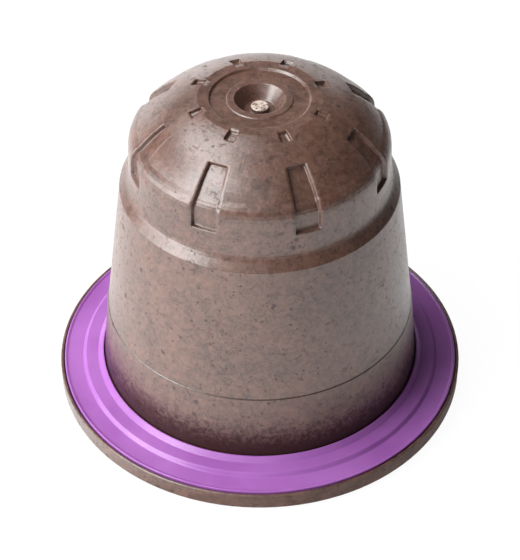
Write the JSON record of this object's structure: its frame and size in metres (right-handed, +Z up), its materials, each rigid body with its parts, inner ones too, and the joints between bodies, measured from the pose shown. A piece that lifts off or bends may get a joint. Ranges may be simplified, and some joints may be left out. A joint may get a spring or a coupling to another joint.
{
  "type": "coffee pod",
  "caption": "Sealed single-serve espresso pod in mottled brown bio-plastic, dome up on its flange, with a purple sealing ring.",
  "frame": {"origin": "middle of the lid's lower face, on the surface that the pod stands on", "axes": "+Z up along the pod's axis, from the lid to the dome; -Y is the side that the picture shows"},
  "size_m": [0.037, 0.037, 0.0303],
  "materials": {
    "husk_plastic": "satin, mottled brown with dark flecks",
    "ring_plastic": "satin gloss, orchid purple",
    "lid_paper": "matt unbleached paper"
  },
  "bodies": {
    "root": {"pod_body": "husk_plastic", "sealing_ring": "ring_plastic", "lid": "lid_paper"}
  },
  "joints": []
}
